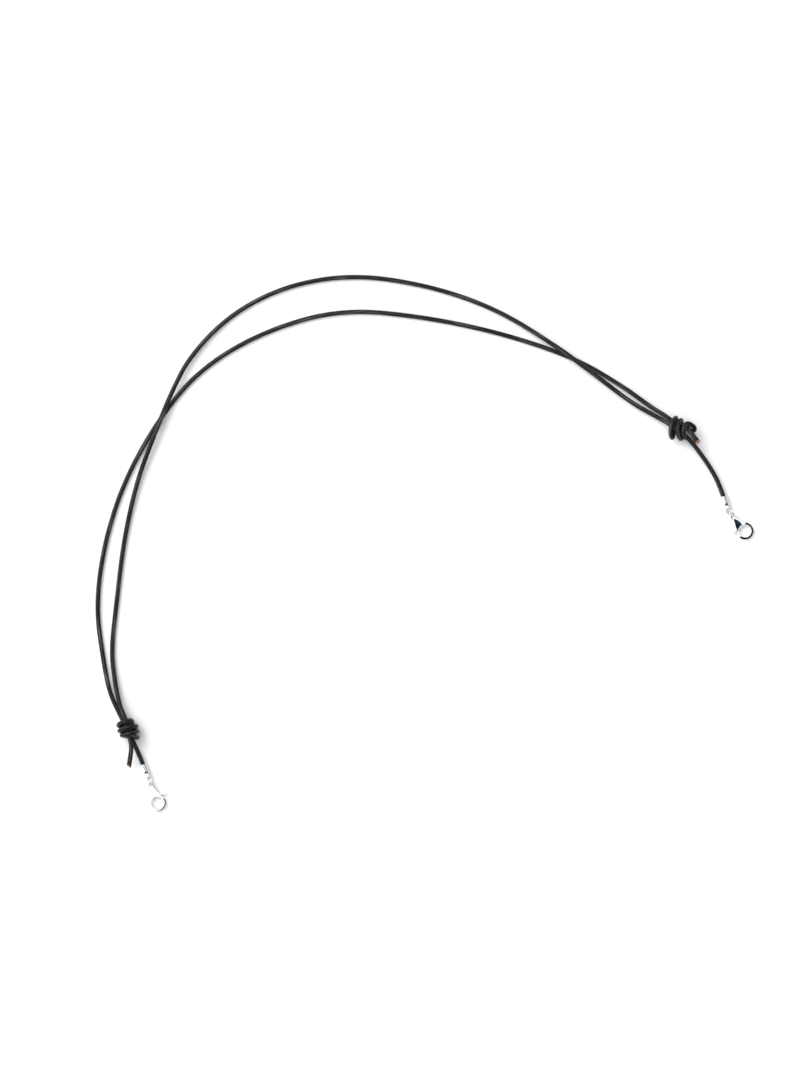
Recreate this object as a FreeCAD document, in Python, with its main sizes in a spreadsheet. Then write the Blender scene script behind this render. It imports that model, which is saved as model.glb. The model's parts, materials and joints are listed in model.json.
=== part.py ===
import FreeCAD, Part
import math
import os
from FreeCAD import Placement, Rotation, Vector

# An adjustable lanyard of two round leather cords, laid in a wide arch on a table.
# Each cord starts in a metal crimp with a jump ring and a lobster clasp, runs through the
# knot of the other cord, crosses the table beside it, and ends in a knot round the other cord.
# Millimetres, +Z up, origin on the table at the middle of the footprint.

doc = FreeCAD.newDocument("lanyard")
up = Vector(0, 0, 1)

# ---------------------------------------------------------------- driving dimensions
drivingSizes = {
    "cordDiameter": 2.0,
    "knotDiameter": 9.0,
    "knotEndRounding": 2.0,
    "leftKnotLength": 9.0,
    "rightKnotLength": 10.0,
    "knotBoreRadius": 1.3,
    "coreHeight": 3.4,
    "leftCoreOffset": 1.0,
    "rightCoreOffset": 1.9,
    "crimpLength": 4.8,
    "crimpWall": 0.4,
    "crimpSeamWidth": 0.25,
    "crimpWindowRadius": 0.65,
    "crimpWindowDistance": 3.9,
    "crimpGrip": 4.0,
    "crimpHeight": 1.9,
    "crimpLoopDistance": 6.8,
    "hardwareHeight": 1.3,
    "loopRadius": 1.05,
    "loopWire": 0.3,
    "tongueWidth": 1.6,
    "tongueThick": 0.6,
    "ringRadius": 1.6,
    "ringWire": 0.27,
    "ringSplit": 6.0,
    "hookDistance": 8.4,
    "hookRadius": 3.05,
    "hookWire": 0.55,
    "hookOpening": 2.55,
    "hookTipAngle": -105.0,
    "hookHeelAngle": 172.0,
    "bodyStart": 0.9,
    "bodyEnd": 6.6,
    "bodyStartHalfWidth": 0.75,
    "bodyEndHalfWidth": 3.0,
    "bodyStartHalfThick": 0.5,
    "bodyEndHalfThick": 1.15,
    "slotHalfThick": 0.5,
    "slotStart": 3.2,
    "pinDistance": 4.5,
    "pinOffset": -1.5,
    "pinRadius": 0.4,
    "pinLength": 2.04,
    "pinHoleRadius": 0.45,
    "leverHalfThick": 0.4,
    "leverHubRadius": 0.85,
    "leverHubTop": 0.15,
    "gateInner": 2.65,
    "gateOuter": 3.3,
    "gateStartAngle": 196.0,
    "gateSweep": 55.5,
    "thumbAngle": -66.2,
    "thumbStart": 0.8,
    "thumbEnd": 3.4,
    "thumbWidth": 0.6,
    "springRadius": 0.62,
    "springWire": 0.1,
    "springHeight": 0.32,
    "springLegLength": 0.66,
}
sheet = doc.addObject("Spreadsheet::Sheet", "Sizes")
for row, (alias, value) in enumerate(drivingSizes.items(), start=1):
    sheet.set(f"A{row}", alias)
    sheet.set(f"B{row}", str(value))
    sheet.setAlias(f"B{row}", alias)
doc.recompute()


def size(alias):
    return float(sheet.get(alias))


def bound(kind, name, expressions, place=None):
    """A primitive whose sizes follow cells of the sheet."""
    piece = doc.addObject(kind, name)
    for quantity, expression in expressions.items():
        piece.setExpression(quantity, expression)
    if place is not None:
        piece.Placement = place
    return piece


def joined(name, pieces):
    whole = doc.addObject("Part::MultiFuse", name)
    whole.Shapes = pieces
    whole.Refine = True
    return whole


def cutAway(name, base, tool):
    rest = doc.addObject("Part::Cut", name)
    rest.Base = base
    rest.Tool = tool
    return rest


def polar(angle):
    """A level unit vector at an angle in degrees from +X."""
    return Vector(math.cos(math.radians(angle)), math.sin(math.radians(angle)), 0)


def facing(xAxis, yAxis, zAxis):
    return Rotation(xAxis, yAxis, zAxis, "ZXY")


# ---------------------------------------------------------------- where the ends lie
cordRadius = size("cordDiameter") / 2
coreHeight = size("coreHeight")

# A knot's axis runs from the side where both cords enter to the side of the clasp.
knots = {
    "left": {"centre": Vector(-129.35, -82.35, 0), "axis": polar(-64.0)},
    "right": {"centre": Vector(113.0, 49.6, 0), "axis": polar(-45.0)},
}
for side, knot in knots.items():
    knot["across"] = up.cross(knot["axis"])
    knot["length"] = size(side + "KnotLength")
    knot["coreLine"] = knot["centre"] - knot["across"] * size(side + "CoreOffset")


def alongCore(side, distance):
    """A point of the straight stretch of core cord that a knot slides on."""
    knot = knots[side]
    point = knot["coreLine"] + knot["axis"] * distance
    return Vector(point.x, point.y, coreHeight)


def atKnotFace(side, end, across, height, out=0):
    """A point of a knot's end face, or straight out from it.

    end is -1 where the cords enter and +1 at the clasp side.
    """
    knot = knots[side]
    along = end * (knot["length"] / 2 + out)
    point = knot["centre"] + knot["axis"] * along + knot["across"] * across
    return Vector(point.x, point.y, height)


# The cord that starts in the right crimp and ends in the left knot. It passes over the other.
rightRoute = [
    Vector(132.24, 16.3, 1.9),
    Vector(129.8, 24.2, 1.9),
    Vector(125.3, 32.5, 2.7),
    alongCore("right", 12.3),
    alongCore("right", -9.0),
    Vector(91.0, 60.3, 2.4),
    Vector(73.0, 74.6, 6.0),
    Vector(55.6, 87.4, 6.0),
    Vector(31.0, 102.6, 1.0),
    Vector(3.0, 112.4, 1.0),
    Vector(-30.0, 117.7, 1.0),
    Vector(-60.0, 113.2, 1.0),
    Vector(-85.0, 100.6, 1.0),
    Vector(-103.0, 82.2, 3.6),
    Vector(-111.6, 65.2, 6.0),
    Vector(-119.2, 46.0, 6.0),
    Vector(-126.8, 26.2, 2.4),
    Vector(-132.6, 0.0, 1.0),
    Vector(-135.7, -27.0, 1.0),
    Vector(-138.0, -48.0, 1.0),
    Vector(-136.5, -62.5, 2.6),
    atKnotFace("left", -1, 0.6, 5.1, out=8.0),
    atKnotFace("left", -1, 0.6, 5.1),
]
# The cord that starts in the left crimp and ends in the right knot.
leftRoute = [
    Vector(-122.44, -101.4, 1.9),
    Vector(-124.9, -95.2, 1.9),
    alongCore("left", 8.4),
    alongCore("left", -8.5),
    Vector(-138.7, -66.0, 2.0),
    Vector(-141.8, -50.0, 1.0),
    Vector(-144.7, -28.0, 1.0),
    Vector(-141.2, -1.0, 1.0),
    Vector(-132.5, 26.6, 1.0),
    Vector(-117.0, 54.4, 1.0),
    Vector(-98.9, 76.2, 1.0),
    Vector(-71.0, 92.7, 1.0),
    Vector(-37.0, 102.5, 1.0),
    Vector(0.0, 99.0, 1.0),
    Vector(35.0, 91.5, 1.0),
    Vector(66.0, 80.9, 1.0),
    Vector(87.0, 68.6, 1.6),
    Vector(97.5, 61.3, 3.2),
    atKnotFace("right", -1, 0.1, 5.3, out=6.4),
    atKnotFace("right", -1, 0.1, 5.3),
]
# The short cut ends that leave the knots beside the core.
leftTailRoute = [
    atKnotFace("left", 1, -0.4, 5.5),
    Vector(-128.3, -90.4, 5.3),
    Vector(-130.0, -98.8, 4.6),
]
rightTailRoute = [
    atKnotFace("right", 1, 1.2, 5.2),
    Vector(118.6, 45.3, 5.9),
    Vector(120.1, 43.0, 6.6),
]


# ---------------------------------------------------------------- cords
def roundedPath(name, points):
    """Straight runs joined by tangent arcs, each as large as its two runs allow."""
    edges = []
    radii = []
    start = points[0]
    for before, corner, after in zip(points, points[1:], points[2:]):
        back = before - corner
        ahead = after - corner
        reach = 0.45 * min(back.Length, ahead.Length)
        back.normalize()
        ahead.normalize()
        halfTurn = (math.pi - back.getAngle(ahead)) / 2
        radius = reach / math.tan(halfTurn)
        inward = back + ahead
        inward.normalize()
        first = corner + back * reach
        middle = corner + inward * (radius / math.cos(halfTurn) - radius)
        last = corner + ahead * reach
        edges.append(Part.LineSegment(start, first).toShape())
        edges.append(Part.Arc(first, middle, last).toShape())
        radii.append(round(radius, 1))
        start = last
    edges.append(Part.LineSegment(start, points[-1]).toShape())
    path = Part.Wire(edges)
    print(f"{name}: length {path.Length:.1f}, radii {radii}")
    return path


def cordTube(name, points):
    path = roundedPath(name, points)
    section = Part.Wire(Part.Circle(points[0], points[1] - points[0], cordRadius).toShape())
    solid = path.makePipeShell([section], True, False)
    expected = math.pi * cordRadius**2 * path.Length
    if abs(solid.Volume / expected - 1) > 0.01:
        raise ValueError(f"{name} has volume {solid.Volume:.1f}, not {expected:.1f}")
    tube = doc.addObject("Part::Feature", name)
    tube.Shape = solid
    tube.Placement = Placement()
    return tube


# ---------------------------------------------------------------- knots
def knotBarrel(side):
    """The outer shape of a knot's turns, bored for the cord that it slides on."""
    length = f"Sizes.{side}KnotLength"
    knot = knots[side]
    blank = bound("Part::Cylinder", side + "KnotBlank", {"Radius": "Sizes.knotDiameter / 2", "Height": length})
    rounded = doc.addObject("Part::Fillet", side + "KnotRounded")
    rounded.Base = blank
    rounding = size("knotEndRounding")
    rounded.Edges = [(1, rounding, rounding), (3, rounding, rounding)]
    boreCentre = Vector(-size(side + "CoreOffset"), coreHeight - size("knotDiameter") / 2, 0)
    bore = bound(
        "Part::Cylinder",
        side + "KnotBore",
        {"Radius": "Sizes.knotBoreRadius", "Height": length},
        Placement(boreCentre, Rotation()),
    )
    barrel = cutAway(side + "_knot", rounded, bore)
    start = knot["centre"] - knot["axis"] * (knot["length"] / 2) + up * (size("knotDiameter") / 2)
    barrel.Placement = Placement(start, facing(knot["across"], up, knot["axis"]))
    return barrel


# ---------------------------------------------------------------- crimps
def crimp(side, route):
    """A rolled sleeve that grips the cord's end, with a seam, a window and a tongue to its loop."""
    inwards = route[0] - route[1]
    inwards.normalize()
    mouth = route[0] - inwards * size("crimpGrip")
    alongX = Rotation(Vector(0, 0, 1), Vector(1, 0, 0))
    sleeve = bound(
        "Part::Cylinder",
        side + "CrimpSleeve",
        {"Radius": "Sizes.cordDiameter / 2 + Sizes.crimpWall", "Height": "Sizes.crimpLength"},
        Placement(Vector(), alongX),
    )
    bore = bound(
        "Part::Cylinder",
        side + "CrimpBore",
        {"Radius": "Sizes.cordDiameter / 2", "Height": "Sizes.crimpLength"},
        Placement(Vector(), alongX),
    )
    rolled = cutAway(side + "CrimpRolled", sleeve, bore)
    seam = bound(
        "Part::Box",
        side + "CrimpSeam",
        {"Length": "Sizes.crimpLength", "Width": "Sizes.crimpSeamWidth", "Height": "Sizes.cordDiameter"},
        Placement(Vector(0, -size("crimpSeamWidth") / 2, cordRadius / 2), Rotation()),
    )
    slit = cutAway(side + "CrimpSlit", rolled, seam)
    window = bound(
        "Part::Cylinder",
        side + "CrimpWindow",
        {"Radius": "Sizes.crimpWindowRadius", "Height": "Sizes.cordDiameter"},
        Placement(Vector(size("crimpWindowDistance"), 0, cordRadius / 2), Rotation()),
    )
    windowed = cutAway(side + "CrimpWindowed", slit, window)
    tongueBottom = -cordRadius - size("crimpWall") / 4
    tongue = bound(
        "Part::Box",
        side + "CrimpTongue",
        {
            "Length": "Sizes.crimpLoopDistance - Sizes.loopRadius - Sizes.crimpGrip - 0.1",
            "Width": "Sizes.tongueWidth",
            "Height": "Sizes.tongueThick",
        },
        Placement(Vector(size("crimpGrip") + 0.1, -size("tongueWidth") / 2, tongueBottom), Rotation()),
    )
    loopHeight = size("hardwareHeight") - size("crimpHeight")
    loop = bound(
        "Part::Torus",
        side + "CrimpLoop",
        {"Radius1": "Sizes.loopRadius", "Radius2": "Sizes.loopWire"},
        Placement(Vector(size("crimpLoopDistance"), 0, loopHeight), Rotation()),
    )
    whole = joined(side + "_crimp", [windowed, tongue, loop])
    whole.Placement = Placement(mouth, facing(inwards, up.cross(inwards), up))
    loopCentre = mouth + inwards * size("crimpLoopDistance")
    return Vector(loopCentre.x, loopCentre.y, size("hardwareHeight"))


# ---------------------------------------------------------------- jump rings
def jumpRing(side, loopCentre, heading, lean, offset):
    """A split ring through the crimp's loop and the clasp's eye, leaning to one side.

    heading is the way from loop to eye, lean the ring's angle to the table, and offset how far
    the ring's centre stands beyond the line between them. Returns the centre of the eye.
    """
    chord = 2 * math.sqrt(size("ringRadius") ** 2 - offset**2)
    forward = polar(heading)
    rise = up.cross(forward) * math.cos(math.radians(lean)) + up * math.sin(math.radians(lean))
    centre = loopCentre + forward * (chord / 2) + rise * offset
    ring = bound(
        "Part::Torus",
        side + "_jump_ring",
        {"Radius1": "Sizes.ringRadius", "Radius2": "Sizes.ringWire", "Angle3": "360 - Sizes.ringSplit"},
    )
    ring.Placement = Placement(centre, facing(rise, forward * -1, forward.cross(rise)))
    return loopCentre + forward * chord


# ---------------------------------------------------------------- clasps
# A clasp is drawn with its eye at the origin, its hook ahead along +X and its lever towards -Y.
def claspBody(side, place):
    eye = bound(
        "Part::Torus",
        side + "ClaspEye",
        {"Radius1": "Sizes.loopRadius", "Radius2": "Sizes.loopWire"},
    )
    hookTurn = Rotation(up, size("hookTipAngle"))
    hook = bound(
        "Part::Torus",
        side + "ClaspHook",
        {
            "Radius1": "Sizes.hookRadius",
            "Radius2": "Sizes.hookWire",
            "Angle3": "Sizes.hookHeelAngle - Sizes.hookTipAngle",
        },
        Placement(Vector(size("hookDistance"), 0, 0), hookTurn),
    )
    # The wedge widens and thickens from the eye to the hook: its own Y runs along the clasp.
    wedge = bound(
        "Part::Wedge",
        side + "ClaspWedge",
        {
            "Ymin": "Sizes.bodyStart",
            "Ymax": "Sizes.bodyEnd",
            "Xmin": "-Sizes.bodyStartHalfWidth",
            "Xmax": "Sizes.bodyStartHalfWidth",
            "X2min": "-Sizes.bodyEndHalfWidth",
            "X2max": "Sizes.bodyEndHalfWidth",
            "Zmin": "-Sizes.bodyStartHalfThick",
            "Zmax": "Sizes.bodyStartHalfThick",
            "Z2min": "-Sizes.bodyEndHalfThick",
            "Z2max": "Sizes.bodyEndHalfThick",
        },
        Placement(Vector(), Rotation(up, -90)),
    )
    depth = 2 * size("bodyEndHalfThick")
    opening = bound(
        "Part::Cylinder",
        side + "ClaspOpening",
        {"Radius": "Sizes.hookOpening", "Height": "4 * Sizes.bodyEndHalfThick"},
        Placement(Vector(size("hookDistance"), 0, -depth), Rotation()),
    )
    eyeHole = bound(
        "Part::Cylinder",
        side + "ClaspEyeHole",
        {"Radius": "Sizes.loopRadius", "Height": "4 * Sizes.bodyEndHalfThick"},
        Placement(Vector(0, 0, -depth), Rotation()),
    )
    slot = bound(
        "Part::Box",
        side + "ClaspSlot",
        {
            "Length": "Sizes.hookDistance - Sizes.slotStart",
            "Width": "2 * Sizes.bodyEndHalfWidth",
            "Height": "2 * Sizes.slotHalfThick",
        },
        Placement(
            Vector(size("slotStart"), -2 * size("bodyEndHalfWidth") - 0.2, -size("slotHalfThick")),
            Rotation(),
        ),
    )
    pinHole = bound(
        "Part::Cylinder",
        side + "ClaspPinHole",
        {"Radius": "Sizes.pinRadius", "Height": "4 * Sizes.bodyEndHalfThick"},
        Placement(Vector(size("pinDistance"), size("pinOffset"), -depth), Rotation()),
    )
    hollows = joined(side + "ClaspHollows", [opening, eyeHole, slot, pinHole])
    wedgeCut = cutAway(side + "ClaspWedgeCut", wedge, hollows)
    whole = joined(side + "_clasp_body", [wedgeCut, eye, hook])
    whole.Placement = place
    return whole


def claspLever(side, place):
    """Hub on the pin, curved gate arm that closes the hook, and thumb tab outside."""
    pinPoint = Vector(size("pinDistance"), size("pinOffset"), -size("leverHalfThick"))
    low = Vector(0, 0, -size("leverHalfThick"))
    hub = bound(
        "Part::Cylinder",
        side + "LeverHub",
        {"Radius": "Sizes.leverHubRadius", "Height": "Sizes.leverHalfThick + Sizes.leverHubTop"},
        Placement(pinPoint, Rotation()),
    )
    web = bound(
        "Part::Box",
        side + "LeverWeb",
        {
            "Length": "2 * Sizes.leverHubRadius",
            "Width": "Sizes.leverHubRadius",
            "Height": "Sizes.leverHalfThick + Sizes.leverHubTop",
        },
        Placement(pinPoint + Vector(0, -size("leverHubRadius") / 2, 0), Rotation(up, -8)),
    )
    gateTurn = Rotation(up, size("gateStartAngle"))
    hookCentre = Vector(size("hookDistance"), 0, 0)
    gateOuter = bound(
        "Part::Cylinder",
        side + "GateOuter",
        {"Radius": "Sizes.gateOuter", "Height": "2 * Sizes.leverHalfThick", "Angle": "Sizes.gateSweep"},
        Placement(hookCentre + low, gateTurn),
    )
    gateInner = bound(
        "Part::Cylinder",
        side + "GateInner",
        {"Radius": "Sizes.gateInner", "Height": "2 * Sizes.leverHalfThick"},
        Placement(hookCentre + low, Rotation()),
    )
    gate = cutAway(side + "Gate", gateOuter, gateInner)
    thumbDirection = polar(size("thumbAngle"))
    thumbSide = up.cross(thumbDirection)
    thumbCorner = pinPoint + thumbDirection * size("thumbStart") - thumbSide * (size("thumbWidth") / 2)
    thumb = bound(
        "Part::Box",
        side + "LeverThumb",
        {
            "Length": "Sizes.thumbEnd - Sizes.thumbStart",
            "Width": "Sizes.thumbWidth",
            "Height": "2 * Sizes.leverHalfThick",
        },
        Placement(thumbCorner, Rotation(up, size("thumbAngle"))),
    )
    bead = bound(
        "Part::Cylinder",
        side + "LeverBead",
        {"Radius": "Sizes.thumbWidth * 0.7", "Height": "2 * Sizes.leverHalfThick"},
        Placement(pinPoint + thumbDirection * size("thumbEnd"), Rotation()),
    )
    solid = joined(side + "LeverSolid", [hub, web, gate, thumb, bead])
    hole = bound(
        "Part::Cylinder",
        side + "LeverHole",
        {"Radius": "Sizes.pinHoleRadius", "Height": "2 * Sizes.leverHalfThick"},
        Placement(pinPoint, Rotation()),
    )
    lever = cutAway(side + "_clasp_lever", solid, hole)
    lever.Placement = place
    return lever


def claspPin(side, place):
    pin = bound("Part::Cylinder", side + "_clasp_pin", {"Radius": "Sizes.pinRadius", "Height": "Sizes.pinLength"})
    foot = Vector(size("pinDistance"), size("pinOffset"), -size("pinLength") / 2)
    pin.Placement = place.multiply(Placement(foot, Rotation()))
    return pin


def claspSpring(side, place):
    """One turn of wire round the pin above the lever's hub, with a leg back into the body."""
    middle = Vector(size("pinDistance"), size("pinOffset"), size("springHeight"))
    coil = bound(
        "Part::Torus",
        side + "SpringCoil",
        {"Radius1": "Sizes.springRadius", "Radius2": "Sizes.springWire"},
        Placement(middle, Rotation()),
    )
    leg = bound(
        "Part::Cylinder",
        side + "SpringLeg",
        {"Radius": "Sizes.springWire", "Height": "Sizes.springLegLength"},
        Placement(middle - Vector(size("springRadius"), 0, 0), Rotation(up, Vector(-1, 0, 0))),
    )
    spring = joined(side + "_clasp_spring", [coil, leg])
    spring.Placement = place
    return spring


# ---------------------------------------------------------------- assembly
cordTube("right_cord", rightRoute)
cordTube("left_cord", leftRoute)
cordTube("left_tail", leftTailRoute)
cordTube("right_tail", rightTailRoute)

ends = {
    "left": {"route": leftRoute, "ringHeading": -75.0, "lean": 60.0, "offset": 0.8, "claspHeading": -69.0},
    "right": {"route": rightRoute, "ringHeading": -51.0, "lean": 50.0, "offset": 0.3, "claspHeading": -48.7},
}
leverUp = {"left": up * -1, "right": up}  # the left clasp lies on its other face
for side, end in ends.items():
    knotBarrel(side)
    loopCentre = crimp(side, end["route"])
    eyeCentre = jumpRing(side, loopCentre, end["ringHeading"], end["lean"], end["offset"])
    ahead = polar(end["claspHeading"])
    claspPlace = Placement(eyeCentre, facing(ahead, leverUp[side].cross(ahead), leverUp[side]))
    claspBody(side, claspPlace)
    claspLever(side, claspPlace)
    claspPin(side, claspPlace)
    claspSpring(side, claspPlace)
    pinCentre = claspPlace.multVec(Vector(size("pinDistance"), size("pinOffset"), 0))
    hookCentre = claspPlace.multVec(Vector(size("hookDistance"), 0, 0))
    print(f"{side} ring turns about {loopCentre}, clasp about {eyeCentre}")
    print(f"{side} lever turns about {pinCentre}, hook centre {hookCentre}, knot axis {knots[side]['axis']}")

subparts = ["left_cord", "right_cord", "left_tail", "right_tail"]
for side in ends:
    for piece in ["knot", "crimp", "jump_ring", "clasp_body", "clasp_lever", "clasp_pin", "clasp_spring"]:
        subparts.append(f"{side}_{piece}")

doc.recompute()
for item in doc.Objects:
    if "Invalid" in item.State or "Error" in item.State:
        raise ValueError(f"{item.Name} did not build: {item.State}")
os.makedirs("parts", exist_ok=True)
for name in subparts:
    item = doc.getObject(name)
    item.Label = name
    if item.Shape.isNull() or not item.Shape.isValid():
        raise ValueError(f"{name} has no valid shape")
    if len(item.Shape.Solids) != 1:
        raise ValueError(f"{name} has {len(item.Shape.Solids)} solids")
    item.Shape.exportStep(f"parts/{name}.step")
    print(f"{name}: volume {item.Shape.Volume:.2f}")
whole = Part.makeCompound([doc.getObject(name).Shape for name in subparts])
print("box", whole.BoundBox)
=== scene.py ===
import bmesh
import bpy
import json
import math
from mathutils import Matrix, Vector


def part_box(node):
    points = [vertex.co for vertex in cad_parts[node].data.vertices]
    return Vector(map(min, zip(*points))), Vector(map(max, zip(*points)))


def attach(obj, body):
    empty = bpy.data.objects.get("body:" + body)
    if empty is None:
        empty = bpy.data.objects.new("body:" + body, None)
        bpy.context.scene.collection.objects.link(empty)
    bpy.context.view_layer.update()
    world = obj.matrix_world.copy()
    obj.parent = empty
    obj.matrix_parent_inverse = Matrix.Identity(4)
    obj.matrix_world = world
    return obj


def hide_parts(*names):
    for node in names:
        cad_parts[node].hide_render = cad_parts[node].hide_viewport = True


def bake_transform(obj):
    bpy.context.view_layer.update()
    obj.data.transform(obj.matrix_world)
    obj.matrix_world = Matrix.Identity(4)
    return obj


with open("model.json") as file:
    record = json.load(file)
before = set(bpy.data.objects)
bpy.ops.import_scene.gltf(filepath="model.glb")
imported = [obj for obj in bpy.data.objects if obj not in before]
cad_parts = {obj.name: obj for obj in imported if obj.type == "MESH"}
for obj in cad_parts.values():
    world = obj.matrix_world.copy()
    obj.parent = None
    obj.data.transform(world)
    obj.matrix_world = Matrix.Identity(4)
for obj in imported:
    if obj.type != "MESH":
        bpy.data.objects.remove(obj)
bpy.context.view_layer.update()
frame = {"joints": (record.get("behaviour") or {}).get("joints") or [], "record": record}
mm = 0.001
up = Vector((0, 0, 1))
joints = {joint["name"]: joint for joint in frame["joints"]}


# ---- shader maths: a socket that can be added, multiplied and mixed
class Signal:
    def __init__(self, finish, socket):
        self.finish = finish
        self.socket = socket

    def math(self, operation, first, second, clamp=False):
        settings = {"operation": operation, "use_clamp": clamp}
        return self.finish.node("ShaderNodeMath", settings, [first, second])

    def __add__(self, other):
        return self.math("ADD", self, other)

    def __radd__(self, other):
        return self.math("ADD", self, other)

    def __sub__(self, other):
        return self.math("SUBTRACT", self, other)

    def __rsub__(self, other):
        return self.math("SUBTRACT", other, self)

    def __mul__(self, other):
        return self.math("MULTIPLY", self, other)

    def __rmul__(self, other):
        return self.math("MULTIPLY", self, other)

    def clamped(self):
        return self.math("ADD", self, 0.0, clamp=True)

    def between(self, low, high):  # 0 below low, 1 above high, smooth in between
        inputs = {"Value": self, "From Min": low, "From Max": high}
        return self.finish.node("ShaderNodeMapRange", {"interpolation_type": "SMOOTHSTEP"}, inputs)


class Finish:  # the node tree of a material or of the world
    def __init__(self, owner):
        self.owner = owner
        owner.use_nodes = True
        self.tree = owner.node_tree
        self.tree.nodes.clear()

    def node(self, kind, settings=None, inputs=None, output=0):
        made = self.tree.nodes.new(kind)
        for key, value in (settings or {}).items():
            setattr(made, key, value)
        pairs = enumerate(inputs) if isinstance(inputs, list) else (inputs or {}).items()
        for key, value in pairs:
            if isinstance(value, Signal):
                self.tree.links.new(value.socket, made.inputs[key])
            else:
                made.inputs[key].default_value = value
        return Signal(self, made.outputs[output]) if made.outputs else None

    def objectSpace(self):
        return self.node("ShaderNodeTexCoord", output="Object")

    def attribute(self, name):
        return self.node("ShaderNodeAttribute", {"attribute_name": name}, output="Vector")

    def stretched(self, vector, scale):
        return self.node("ShaderNodeMapping", {}, {"Vector": vector, "Scale": scale})

    def noise(self, vector, scale, detail=3.0, roughness=0.6):
        inputs = {"Vector": vector, "Scale": scale, "Detail": detail, "Roughness": roughness}
        return self.node("ShaderNodeTexNoise", {}, inputs)

    def cells(self, vector, scale, feature):
        inputs = {"Vector": vector, "Scale": scale}
        return self.node("ShaderNodeTexVoronoi", {"feature": feature}, inputs)

    def mixed(self, factor, first, second):
        inputs = {0: factor, 6: first, 7: second}  # the sockets of a colour mix
        return self.node("ShaderNodeMix", {"data_type": "RGBA"}, inputs, output=2)

    def bump(self, height, strength, distance):
        inputs = {"Height": height, "Strength": strength, "Distance": distance}
        return self.node("ShaderNodeBump", {}, inputs)

    def surface(self, **inputs):
        named = {key.replace("_", " "): value for key, value in inputs.items()}
        shader = self.node("ShaderNodeBsdfPrincipled", {}, named)
        self.node("ShaderNodeOutputMaterial", {}, {"Surface": shader})
        return self.owner


def newFinish(name):
    return Finish(bpy.data.materials.new(name))


# ---- finishes; scales are in features per metre
colours = {
    "leatherDark": (0.003, 0.003, 0.0034, 1),
    "leatherCharcoal": (0.013, 0.0125, 0.0138, 1),
    "leatherScuff": (0.12, 0.115, 0.124, 1),
    "rawBrown": (0.36, 0.15, 0.065, 1),
    "rawTan": (0.56, 0.31, 0.19, 1),
    "rawShade": (0.16, 0.06, 0.03, 1),
    "platingBright": (0.80, 0.80, 0.81, 1),
    "platingHazy": (0.68, 0.68, 0.70, 1),
    # painted shade and dark reflection for the clasp's recess
    "recessShadeBlack": (0.004, 0.005, 0.010, 1),
    "recessShadeBlue": (0.045, 0.062, 0.095, 1),
    "steelDark": (0.42, 0.42, 0.43, 1),
    "steelLight": (0.62, 0.62, 0.63, 1),
    "floorShade": (0.95, 0.95, 0.955, 1),
    "floorPale": (0.97, 0.97, 0.975, 1),
}


def blackLeather():
    finish = newFinish("blackLeather")
    cord = finish.attribute("cordSpace")  # x runs along the cord, y and z across it
    broad = finish.noise(finish.stretched(cord, (0.25, 1.0, 1.0)), scale=260.0, detail=4.0)
    fibres = finish.noise(finish.stretched(cord, (0.12, 1.0, 1.0)), scale=2600.0)
    pores = finish.cells(finish.stretched(cord, (0.55, 1.0, 1.0)), scale=5200.0, feature="F1")
    creased = finish.stretched(cord, (0.45, 1.0, 1.0))
    creases = finish.cells(creased, scale=2600.0, feature="DISTANCE_TO_EDGE")
    # the crease mask sinks the bump and also darkens the colour there as painted shade
    creaseDipAndShade = 1.0 - creases.between(0.0, 0.07)
    streaked = finish.stretched(cord, (0.05, 1.0, 1.0))
    streaks = finish.noise(streaked, scale=1500.0, detail=2.0, roughness=0.5)
    worn = (streaks * 0.75 + fibres * 0.25).between(0.5, 0.66)
    deep = broad.between(0.3, 0.72)
    tone = finish.mixed(deep, colours["leatherDark"], colours["leatherCharcoal"])
    colour = finish.mixed(worn * 0.7, tone, colours["leatherScuff"])
    # painted shade: the creases are mixed towards the dark leather colour
    colour = finish.mixed(creaseDipAndShade * 0.3, colour, colours["leatherDark"])
    rough = (0.26 + broad * 0.14 + fibres * 0.1 - worn * 0.04).clamped()
    height = fibres * 0.6 + pores * 0.3 - creaseDipAndShade * 0.15
    normal = finish.bump(height, strength=0.55, distance=0.06 * mm)
    return finish.surface(Base_Color=colour, Roughness=rough, Normal=normal, IOR=1.3)


def rawLeather():
    finish = newFinish("rawLeather")
    place = finish.objectSpace()
    fibres = finish.noise(place, scale=5200.0, detail=5.0, roughness=0.7)
    blotch = finish.noise(place, scale=1400.0, detail=2.0, roughness=0.5)
    tan = finish.mixed(blotch.between(0.35, 0.65), colours["rawBrown"], colours["rawTan"])
    colour = finish.mixed(fibres.between(0.5, 0.75) * 0.5, tan, colours["rawShade"])
    normal = finish.bump(fibres, strength=0.8, distance=0.12 * mm)
    return finish.surface(Base_Color=colour, Roughness=0.85, Normal=normal)


def platedMetal(name, polish):
    finish = newFinish(name)
    place = finish.objectSpace()
    haze = finish.noise(place, scale=900.0)
    brushed = finish.stretched(place, (1.0, 0.08, 1.0))
    scratches = finish.noise(brushed, scale=7000.0, detail=2.0)
    dull = haze.between(0.4, 0.7) * 0.5
    colour = finish.mixed(dull, colours["platingBright"], colours["platingHazy"])
    rough = (polish + haze * 0.07 + scratches.between(0.55, 0.75) * 0.08).clamped()
    normal = finish.bump(scratches * 0.4 + haze, strength=0.25, distance=0.03 * mm)
    return finish.surface(Base_Color=colour, Roughness=rough, Metallic=1.0, Normal=normal)


def shadedRecess():
    # painted shade and dark reflection: near-black blue metal for the recess and the right pin
    finish = newFinish("shadedRecess")
    cloud = finish.noise(finish.objectSpace(), scale=700.0, detail=2.0, roughness=0.5)
    colour = finish.mixed(cloud.between(0.4, 0.6), colours["recessShadeBlack"], colours["recessShadeBlue"])
    return finish.surface(Base_Color=colour, Roughness=0.3, Metallic=1.0)


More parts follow.
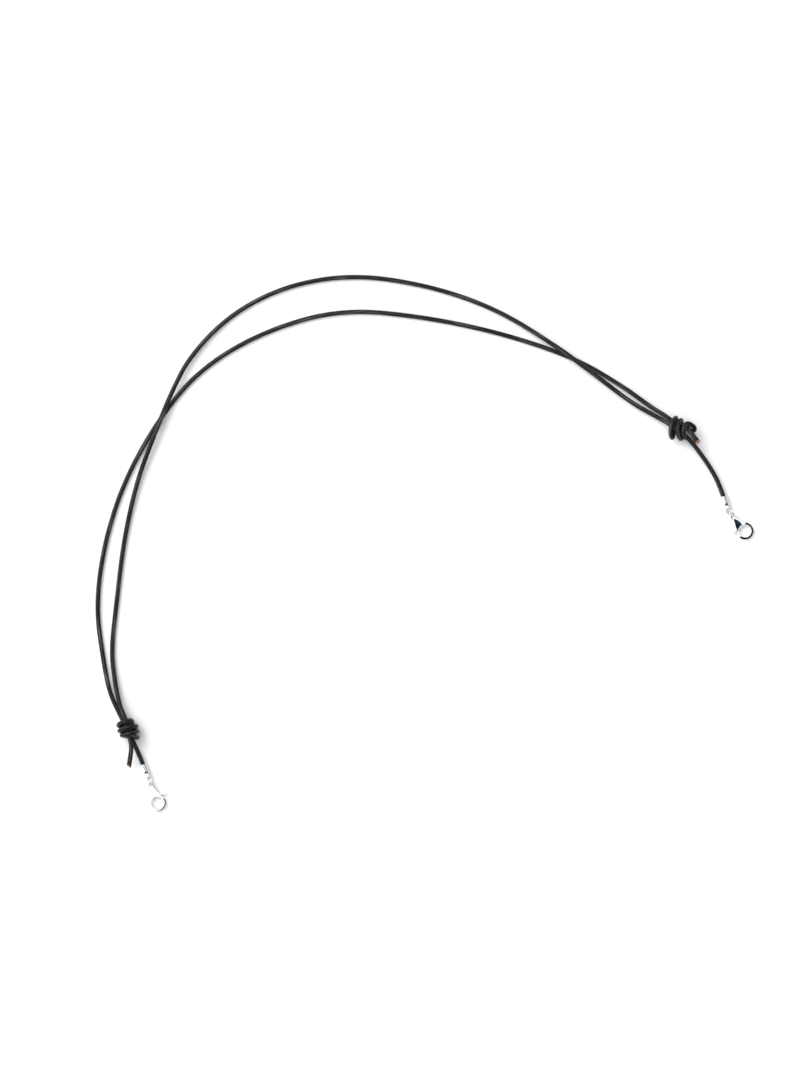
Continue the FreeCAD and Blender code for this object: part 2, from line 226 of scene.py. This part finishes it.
def springSteel():
    finish = newFinish("springSteel")
    wire = finish.stretched(finish.objectSpace(), (1.0, 1.0, 0.2))
    drawn = finish.noise(wire, scale=6000.0, detail=2.0)
    colour = finish.mixed(drawn, colours["steelDark"], colours["steelLight"])
    rough = (0.22 + drawn * 0.15).clamped()
    return finish.surface(Base_Color=colour, Roughness=rough, Metallic=1.0)


def paleFloor():
    finish = newFinish("paleFloor")
    grain = finish.noise(finish.objectSpace(), scale=60.0, detail=4.0)
    colour = finish.mixed(grain, colours["floorShade"], colours["floorPale"])
    return finish.surface(Base_Color=colour, Roughness=0.9)


finishes = {
    "leather": blackLeather(),
    "raw": rawLeather(),
    "plating": platedMetal("brightPlating", polish=0.06),
    "satin": platedMetal("satinPlating", polish=0.26),
    "recess": shadedRecess(),
    "steel": springSteel(),
}
print("finishes made:", ", ".join(finishes))


# ---- where the knots lie
def knotFrame(side):
    low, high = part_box(side + "_knot")
    axis = Vector(joints[side + "_knot_slide"]["axis"]).normalized()
    return {"centre": (Vector(low) + Vector(high)) / 2, "axis": axis, "across": up.cross(axis)}


knots = {side: knotFrame(side) for side in ("left", "right")}


def inKnot(side, along, across, height):  # millimetres from the knot's middle, height above the table
    knot = knots[side]
    point = knot["centre"] + (knot["axis"] * along + knot["across"] * across) * mm
    return Vector((point.x, point.y, height * mm))


# ---- the two cords; routes and knots are in millimetres
cordSizes = {
    "diameter": 2.0 * mm,
    "flareLength": 9.0 * mm,
    "ringSides": 24,
    "splineSteps": 8,
    "weld": 0.0001 * mm,
    "trimReach": 2.4,  # the cut end, in cord radii
    "trimBack": 0.55,
    "rimWidth": 0.12,
    "rimHeight": 0.08,
}


def table(x, y, height=1.0):
    return Vector((x, y, height)) * mm


# Each knot: the strand goes in beside the core, loops back at the clasp side, winds round everything
# towards the arch, tucks in under its own turns and leaves at the clasp side as the tail. Ends are
# where its passes over and under the knot turn round, and bows are how far each pass leans.
knotTurns = {
    "left": {
        "goesIn": [
            (-3.0, 0.5, 5.3),
            (-0.4, 0.5, 5.5),
            (1.9, -0.5, 6.1),
            (3.3, 0.4, 6.9),
            (4.5, 1.35, 6.3),
        ],
        "ends": [
            (5.0, 1.8),
            (0.95, -4.15),
            (2.4, 2.75),
            (-1.05, -4.25),
            (0.3, 3.3),
            (-3.3, -3.6),
            (-1.9, 2.8),
        ],
        "bows": [(0.4, 0.0), (0.0, 0.0), (0.0, 0.0), (-0.8, 0.2), (0.0, 0.0), (-1.3, 0.4)],
        "comesOut": [
            (-3.3, 2.2, 3.0),
            (-3.4, 0.8, 2.3),
            (-1.8, 0.2, 2.9),
            (0.6, -0.6, 4.3),
            (2.6, -1.3, 5.3),
        ],
    },
    "right": {
        "goesIn": [
            (-3.0, -0.2, 5.3),
            (0.2, 0.9, 4.6),
            (2.4, 1.5, 3.6),
            (3.9, 2.2, 3.1),
            (4.7, 3.1, 4.2),
            (3.9, 3.9, 5.6),
            (2.5, 3.9, 6.2),
            (1.0, 3.5, 6.5),
            (-0.1, 2.7, 6.9),
            (0.0, 1.5, 7.5),
            (0.6, 0.0, 8.0),
            (2.0, -1.4, 7.2),
            (3.5, -2.2, 6.0),
        ],
        "ends": [(4.2, -2.2), (-2.6, 2.4), (3.3, -3.6), (-5.0, 1.5), (0.6, -5.8)],
        "bows": [(0.0, 0.0), (-1.4, -1.5), (0.0, 0.0), (-1.1, -2.0)],
        "comesOut": [
            (-1.2, -3.6, 1.6),
            (-3.0, -1.0, 1.6),
            (-3.0, 0.6, 2.6),
            (-0.6, 1.3, 4.3),
            (1.8, 1.9, 5.4),
        ],
    },
}
knotMiddle = 4.5
knotRise = 3.6
pointsPerPass = 7


def windKnot(side):
    shape = knotTurns[side]
    points = [inKnot(side, *point) for point in shape["goesIn"]]
    rise = -knotRise  # the first pass goes under
    for start, end, bow in zip(shape["ends"], shape["ends"][1:], shape["bows"]):
        for step in range(pointsPerPass):
            angle = math.pi * (step + 0.5) / pointsPerPass
            done = (1 - math.cos(angle)) / 2
            place = Vector(start).lerp(Vector(end), done) + Vector(bow) * math.sin(angle)
            points.append(inKnot(side, *place, knotMiddle + rise * math.sin(angle)))
        rise = -rise
    points += [inKnot(side, *point) for point in shape["comesOut"]]
    return points


rightCordRoute = [
    table(132.24, 16.3, 1.9),
    table(129.8, 24.2, 1.9),
    table(125.3, 32.8, 2.7),
    inKnot("right", 10.5, -1.55, 3.3),
    inKnot("right", 4.5, -1.05, 3.4),
    inKnot("right", -1.0, -2.0, 3.4),
    inKnot("right", -6.2, -2.6, 3.1),
    table(91.3, 60.6, 2.0),
    table(73.0, 74.6, 3.25),
    table(55.6, 87.4, 3.25),
    table(31.0, 102.6),
    table(3.0, 112.4),
    table(-30.0, 117.7),
    table(-60.0, 113.2),
    table(-85.0, 100.6),
    table(-103.0, 82.2, 2.0),
    table(-111.6, 65.2, 3.25),
    table(-119.2, 46.0, 3.25),
    table(-126.8, 26.2, 1.8),
    table(-132.6, 0.0),
    table(-135.7, -27.0),
    table(-138.0, -48.0),
    table(-136.1, -62.5, 2.2),
    inKnot("left", -11.0, 0.75, 4.2),
    inKnot("left", -6.5, 0.55, 5.1),
    *windKnot("left"),
    inKnot("left", 4.6, -1.5, 5.7),
    table(-128.5, -91.0, 5.3),
    table(-130.0, -98.8, 4.6),
]
leftCordRoute = [
    table(-122.44, -101.4, 1.9),
    table(-124.9, -95.2, 1.9),
    inKnot("left", 8.4, -1.0, 3.4),
    inKnot("left", -8.5, -1.0, 3.4),
    table(-138.7, -66.0, 2.0),
    table(-141.8, -50.0),
    table(-144.7, -28.0),
    table(-141.2, -1.0),
    table(-132.5, 26.6),
    table(-117.0, 54.4),
    table(-98.9, 76.2),
    table(-71.0, 92.7),
    table(-37.0, 102.5),
    table(0.0, 99.0),
    table(35.0, 91.5),
    table(66.0, 80.9),
    table(87.0, 68.4, 1.5),
    table(98.0, 60.0, 3.4),
    inKnot("right", -9.5, -1.5, 4.9),
    inKnot("right", -6.0, -1.0, 5.3),
    *windKnot("right"),
    inKnot("right", 4.2, 1.25, 5.8),
    inKnot("right", 7.0, 0.6, 6.2),
    inKnot("right", 9.7, 0.4, 6.9),
]


def routeCurve(name, points, bevel):
    curve = bpy.data.curves.new(name, "CURVE")
    curve.dimensions = "3D"
    curve.resolution_u = cordSizes["splineSteps"]
    spline = curve.splines.new("NURBS")
    spline.points.add(len(points) - 1)
    for place, point in zip(spline.points, points):
        place.co = (*point, 1.0)
    spline.order_u = 3
    spline.use_endpoint_u = True
    curve.bevel_depth = bevel
    curve.bevel_resolution = cordSizes["ringSides"] // 4 - 1
    return bpy.data.objects.new(name, curve)


def meshFrom(curveObject, name):
    bpy.context.scene.collection.objects.link(curveObject)
    bpy.context.view_layer.update()
    evaluated = curveObject.evaluated_get(bpy.context.evaluated_depsgraph_get())
    mesh = bpy.data.meshes.new_from_object(evaluated)
    mesh.name = name
    curve = curveObject.data
    bpy.data.objects.remove(curveObject)
    bpy.data.curves.remove(curve)
    return mesh


def centreLine(name, points):
    mesh = meshFrom(routeCurve(name + "Line", points, 0), name + "Line")
    line = [vertex.co.copy() for vertex in mesh.vertices]
    bpy.data.meshes.remove(mesh)
    return line


def markCordSpace(mesh, run):  # along the cord, and the place on its round section
    sides = len(mesh.vertices) // len(run)
    assert sides * len(run) == len(mesh.vertices), "the tube has one ring for each point of the line"
    radius = cordSizes["diameter"] / 2
    space = mesh.attributes.new("cordSpace", "FLOAT_VECTOR", "POINT")
    for index in range(len(mesh.vertices)):
        ring, side = divmod(index, sides)
        turn = 2 * math.pi * side / sides
        space.data[index].vector = (run[ring], radius * math.cos(turn), radius * math.sin(turn))
    return sides


def trimEnd(body, line, cut):  # a slanted cut through the last ring, with a raised rim
    radius = cordSizes["diameter"] / 2
    ending = (line[-1] - line[-3]).normalized()
    reach = cordSizes["trimReach"] * radius
    near = [vertex for vertex in body.verts if (vertex.co - line[-1]).length < reach]
    nearEdges = {edge for vertex in near for edge in vertex.link_edges}
    nearFaces = {face for vertex in near for face in vertex.link_faces}
    bmesh.ops.bisect_plane(
        body,
        geom=[*near, *nearEdges, *nearFaces],
        plane_co=line[-1] - ending * radius * cordSizes["trimBack"],
        plane_no=(ending + Vector(cut)).normalized(),
        clear_outer=True,
    )
    openEdges = [edge for edge in body.edges if edge.is_boundary]
    caps = bmesh.ops.holes_fill(body, edges=openEdges, sides=0)["faces"]
    rawCap = min(caps, key=lambda cap: (cap.calc_center_median() - line[-1]).length)
    rawCap.material_index = 1
    rim = {"thickness": cordSizes["rimWidth"] * radius, "depth": cordSizes["rimHeight"] * radius}
    bmesh.ops.inset_region(body, faces=[rawCap], **rim)
    bmesh.ops.recalc_face_normals(body, faces=body.faces)


def layCord(name, points, cut, flare):
    line = centreLine(name, points)
    mesh = meshFrom(routeCurve(name, points, cordSizes["diameter"] / 2), name)
    run = [0.0]
    for before, after in zip(line, line[1:]):
        run.append(run[-1] + (after - before).length)
    sides = markCordSpace(mesh, run)
    for index, vertex in enumerate(mesh.vertices):  # the cut end is squashed a little wider
        ring = index // sides
        spread = max(0, 1 - (run[-1] - run[ring]) / cordSizes["flareLength"])
        vertex.co = line[ring] + (vertex.co - line[ring]) * (1 + flare * spread)
    body = bmesh.new()
    body.from_mesh(mesh)
    bmesh.ops.remove_doubles(body, verts=body.verts, dist=cordSizes["weld"])
    trimEnd(body, line, cut)
    body.to_mesh(mesh)
    body.free()
    for polygon in mesh.polygons:
        polygon.use_smooth = polygon.material_index == 0
    mesh.materials.append(finishes["leather"])
    mesh.materials.append(finishes["raw"])
    piece = bpy.data.objects.new(name, mesh)
    bpy.context.scene.collection.objects.link(piece)
    print(f"{name}: {run[-1]:.4f} m of cord, {len(mesh.polygons)} faces")
    return piece, line


rightCord, rightLine = layCord("rightCord", rightCordRoute, cut=(-0.5, 0.1, 0.55), flare=0.08)
leftCord, leftLine = layCord("leftCord", leftCordRoute, cut=(0.1, -0.1, 0.5), flare=0.2)

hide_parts("right_cord", "left_knot", "left_tail")
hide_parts("left_cord", "right_knot", "right_tail")
rightEnd = inKnot("right", -7.0, 0.0, 4.0)
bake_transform(rightCord)
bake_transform(leftCord)

# ---- metal pieces that keep their own shape
keptPieces = {
    "crimp": ("satin", "satin"),
    "jump_ring": ("plating", "plating"),
    "clasp_lever": ("plating", "plating"),
    "clasp_spring": ("steel", "steel"),
    "clasp_pin": ("plating", "recess"),  # the right pin's head lies in the recess and shares its painted shade
}
for kind, looks in keptPieces.items():
    for side, look in zip(("left", "right"), looks):
        for slot in bpy.data.objects[f"{side}_{kind}"].material_slots:
            slot.material = finishes[look]
print("finishes given to", 2 * len(keptPieces), "metal pieces")

# ---- clasp bodies: x runs from the eye to the hook, y across, z up, in millimetres
claspSizes = {
    "eyeRadius": 1.05,
    "eyeWire": 0.3,
    "eyeSides": 12,
    "eyeSteps": 32,
    "hookCentre": 8.4,
    "hookFrom": 165,  # degrees round the hook's centre
    "hookTo": -101,
    "hookSteps": 48,
    "openingRadius": 2.6,
    "openingFrom": 232,
    "openingMiddle": 160,
    "openingTo": 140,
    "webFrom": 170,
    "slotHalf": 0.5,
    "thickAtEye": 0.55,
    "thickAtHook": 1.15,
    "taperLength": 6.6,
    "plateOverlap": 0.05,
    "edgeRounding": 0.3,
    "rimAngle": 0.8,  # radians; sharper edges are rounded
    "recessRim": 0.1,
    "recessSlope": 0.08,
    "recessDepth": 0.34,
    "weld": 0.0001,
    "sharpAngle": 32,  # degrees; flatter edges are shaded smooth
}
claspOutline = {
    "leftEdge": [(0.9, -0.7), (2.6, -1.5), (4.4, -2.4), (6.5, -3.1)],
    "rightEdge": [(5.9, 2.5), (4.4, 2.25), (2.6, 1.45), (0.9, 0.7)],
    "ridge": [(0.9, 0.2), (3.3, 1.05)],
    "webEdge": [(0.9, -0.7), (2.6, -1.5), (3.1, -1.75), (3.1, -0.15), (5.7, -0.15)],
}
hookProfile = [  # radius from the hook's centre, height
    (2.6, -0.5),
    (2.6, 0.5),
    (2.7, 0.68),
    (2.84, 0.7),
    (3.72, 0.08),
    (3.72, -0.1),
    (3.28, -0.45),
    (3.2, -0.7),
    (2.75, -0.7),
]


def claspOpening(start, end, steps):  # points round the hook's opening
    points = []
    for step in range(steps + 1):
        angle = math.radians(start + (end - start) * step / steps)
        along = claspSizes["hookCentre"] + claspSizes["openingRadius"] * math.cos(angle)
        points.append((along, claspSizes["openingRadius"] * math.sin(angle)))
    return points


def flatFace(body, outline):
    return body.faces.new([body.verts.new((x, y, 0)) for x, y in outline])


def thicken(body, faces, height):
    made = bmesh.ops.extrude_face_region(body, geom=faces)["geom"]
    lifted = [part for part in made if isinstance(part, bmesh.types.BMVert)]
    bmesh.ops.translate(body, verts=lifted, vec=(0, 0, height))
    return [part for part in made if isinstance(part, bmesh.types.BMFace)]


def roundEdges(body, faces):
    steep = claspSizes["rimAngle"]
    rims = {edge for face in faces for edge in face.edges if edge.calc_face_angle(0) > steep}
    bmesh.ops.bevel(
        body,
        geom=list(rims),
        offset=claspSizes["edgeRounding"],
        segments=3,
        profile=0.5,
        material=-1,
        affect="EDGES",
    )


def sinkRecess(body):  # the lever's side of the plate has a recess, coloured dark as painted shade and reflection
    flats = sorted(body.faces, key=lambda face: face.calc_area() * face.normal.z)[-2:]
    recess = min(flats, key=lambda face: face.calc_center_median().y)
    bmesh.ops.inset_region(body, faces=[recess], thickness=claspSizes["recessRim"], depth=0)
    slope = {"thickness": claspSizes["recessSlope"], "depth": -claspSizes["recessDepth"]}
    walls = bmesh.ops.inset_region(body, faces=[recess], **slope)["faces"]
    for face in [recess, *walls]:
        face.material_index = 1


def claspPlate(recessed):
    body = bmesh.new()
    leftArc = claspOpening(claspSizes["openingFrom"], claspSizes["openingMiddle"], steps=10)
    rightArc = claspOpening(claspSizes["openingMiddle"], claspSizes["openingTo"], steps=8)
    ridge = claspOutline["ridge"]
    leftFace = flatFace(body, claspOutline["leftEdge"] + leftArc + ridge[::-1])
    rightFace = flatFace(body, ridge + rightArc + claspOutline["rightEdge"])
    bmesh.ops.remove_doubles(body, verts=body.verts, dist=claspSizes["weld"])
    bottom = claspSizes["slotHalf"] - claspSizes["plateOverlap"]
    tops = thicken(body, [leftFace, rightFace], claspSizes["thickAtHook"] - bottom)
    bmesh.ops.recalc_face_normals(body, faces=body.faces)
    roundEdges(body, tops)
    if recessed:
        sinkRecess(body)
    bmesh.ops.translate(body, verts=body.verts, vec=(0, 0, bottom))
    return body


def claspWeb():  # closes the slot on the side away from the lever
    body = bmesh.new()
    arc = claspOpening(claspSizes["webFrom"], claspSizes["openingTo"], steps=8)
    face = flatFace(body, claspOutline["webEdge"] + arc + claspOutline["rightEdge"])
    thicken(body, [face], 2 * claspSizes["slotHalf"])
    bmesh.ops.translate(body, verts=body.verts, vec=(0, 0, -claspSizes["slotHalf"]))
    bmesh.ops.recalc_face_normals(body, faces=body.faces)
    return body


def claspHook():
    body = bmesh.new()
    centre = Vector((claspSizes["hookCentre"], 0, 0))
    start = math.radians(claspSizes["hookFrom"])
    way = Vector((math.cos(start), math.sin(start), 0))
    profile = body.faces.new([body.verts.new(centre + way * r + up * z) for r, z in hookProfile])
    bmesh.ops.spin(
        body,
        geom=[profile, *profile.edges, *profile.verts],
        cent=centre,
        axis=(0, 0, 1),
        angle=math.radians(claspSizes["hookTo"] - claspSizes["hookFrom"]),
        steps=claspSizes["hookSteps"],
    )
    bmesh.ops.recalc_face_normals(body, faces=body.faces)
    return body


def claspEye():
    body = bmesh.new()
    upright = Matrix.Rotation(math.radians(90), 4, "X")
    made = bmesh.ops.create_circle(
        body,
        segments=claspSizes["eyeSides"],
        radius=claspSizes["eyeWire"],
        matrix=Matrix.Translation((claspSizes["eyeRadius"], 0, 0)) @ upright,
    )
    geometry = [*made["verts"], *{edge for vertex in made["verts"] for edge in vertex.link_edges}]
    turn = {"axis": (0, 0, 1), "angle": 2 * math.pi, "steps": claspSizes["eyeSteps"]}
    bmesh.ops.spin(body, geom=geometry, use_merge=True, **turn)
    bmesh.ops.recalc_face_normals(body, faces=body.faces)
    return body


def taper(vertex):  # the plates thin out towards the eye
    slot = claspSizes["slotHalf"]
    height = abs(vertex.co.z)
    if vertex.co.x < claspSizes["hookCentre"] - claspSizes["openingRadius"] and height > slot:
        done = min(1, max(0, vertex.co.x / claspSizes["taperLength"]))
        thick = claspSizes["thickAtEye"] * (1 - done) + claspSizes["thickAtHook"] * done
        share = (height - slot) / (claspSizes["thickAtHook"] - slot)
        vertex.co.z = math.copysign(slot + share * (thick - slot), vertex.co.z)


def claspPlace(side):
    eye = Vector(joints[side + "_clasp_swing"]["pos_m"])
    forward = Vector(hooks[side]) - eye
    forward.z = 0
    forward.normalize()
    upward = up if side == "right" else -up  # the left clasp lies on its other face
    axes = Matrix((forward, upward.cross(forward), upward)).transposed().to_4x4()
    return Matrix.Translation(eye) @ axes @ Matrix.Scale(mm, 4)


def castClasp(side):
    under = claspPlate(recessed=False)
    bmesh.ops.scale(under, verts=under.verts, vec=(1, 1, -1))
    bmesh.ops.reverse_faces(under, faces=under.faces)
    whole = bmesh.new()
    for part in (claspPlate(recessed=True), under, claspWeb(), claspHook(), claspEye()):
        mesh = bpy.data.meshes.new("claspPart")
        part.to_mesh(mesh)
        part.free()
        whole.from_mesh(mesh)
        bpy.data.meshes.remove(mesh)
    for vertex in whole.verts:
        taper(vertex)
    bmesh.ops.transform(whole, matrix=claspPlace(side), verts=whole.verts)
    name = side + "ClaspCasting"
    mesh = bpy.data.meshes.new(name)
    whole.to_mesh(mesh)
    whole.free()
    mesh.materials.append(finishes["plating"])
    # slot 1 is the recess's painted shade and dark reflection
    mesh.materials.append(finishes["recess"])
    for polygon in mesh.polygons:
        polygon.use_smooth = True
    mesh.set_sharp_from_angle(angle=math.radians(claspSizes["sharpAngle"]))
    piece = bpy.data.objects.new(name, mesh)
    bpy.context.scene.collection.objects.link(piece)
    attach(piece, side + "_clasp")
    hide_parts(side + "_clasp_body")
    print(f"{name}: {len(mesh.polygons)} faces")


hooks = {mount["name"].split("_")[0]: mount["pos_m"] for mount in frame["record"]["mounts"]}
for side in ("left", "right"):
    castClasp(side)

# ---- floor, light and camera
# A pale room: bright wall and ceiling, with a dark gap between them on the side away from the light.
stage = {
    "floorSize": 12.0,
    "keyPlace": (-0.8, 0.8, 1.2),
    "keySize": 0.9,
    "keyEnergy": 12.0,
    "keyColour": (1.0, 0.99, 0.97),
    "worldStrength": 1.66,
    "roomColour": (0.95, 0.95, 0.97, 1),
    "gapColour": (0.004, 0.004, 0.005, 1),
    "cameraOver": (-11.0 * mm, 1.35 * mm),
    "cameraHeight": 1.25,
    "viewHeight": 474.3 * mm,
    "sensor": 36.0,
}


def layFloor():
    body = bmesh.new()
    bmesh.ops.create_grid(body, x_segments=1, y_segments=1, size=stage["floorSize"] / 2)
    mesh = bpy.data.meshes.new("floor")
    body.to_mesh(mesh)
    body.free()
    mesh.materials.append(paleFloor())
    floor = bpy.data.objects.new("floor", mesh)
    bpy.context.scene.collection.objects.link(floor)


def keyLight():
    lamp = bpy.data.lights.new("keyLight", "AREA")
    lamp.shape = "DISK"
    lamp.size = stage["keySize"]
    lamp.energy = stage["keyEnergy"]
    lamp.color = stage["keyColour"]
    light = bpy.data.objects.new("keyLight", lamp)
    light.location = stage["keyPlace"]
    light.rotation_euler = (-light.location).to_track_quat("-Z", "Y").to_euler()
    bpy.context.scene.collection.objects.link(light)


def paleWorld():
    room = Finish(bpy.data.worlds.new("paleRoom"))
    direction = room.node("ShaderNodeTexCoord", output="Generated")
    split = room.node("ShaderNodeSeparateXYZ", {}, {"Vector": direction})
    east, north, height = (Signal(room, output) for output in split.socket.node.outputs)
    shaded = (east * 0.985 - north * 0.17).between(-0.55, -0.25)
    gap = height.between(0.1, 0.18) * (1 - height.between(0.74, 0.84))
    light = room.mixed(gap * shaded, stage["roomColour"], stage["gapColour"])
    inputs = {"Color": light, "Strength": stage["worldStrength"]}
    background = room.node("ShaderNodeBackground", {}, inputs)
    room.node("ShaderNodeOutputWorld", {}, {"Surface": background})
    bpy.context.scene.world = room.owner


def overheadCamera():
    lens = bpy.data.cameras.new("overhead")
    lens.sensor_width = stage["sensor"]
    lens.lens = stage["sensor"] * stage["cameraHeight"] / stage["viewHeight"]
    camera = bpy.data.objects.new("overhead", lens)
    camera.location = (*stage["cameraOver"], stage["cameraHeight"])
    bpy.context.scene.collection.objects.link(camera)
    bpy.context.scene.camera = camera


layFloor()
paleWorld()
keyLight()
overheadCamera()
bpy.context.scene.view_settings.view_transform = "Standard"
print("stage and camera set")
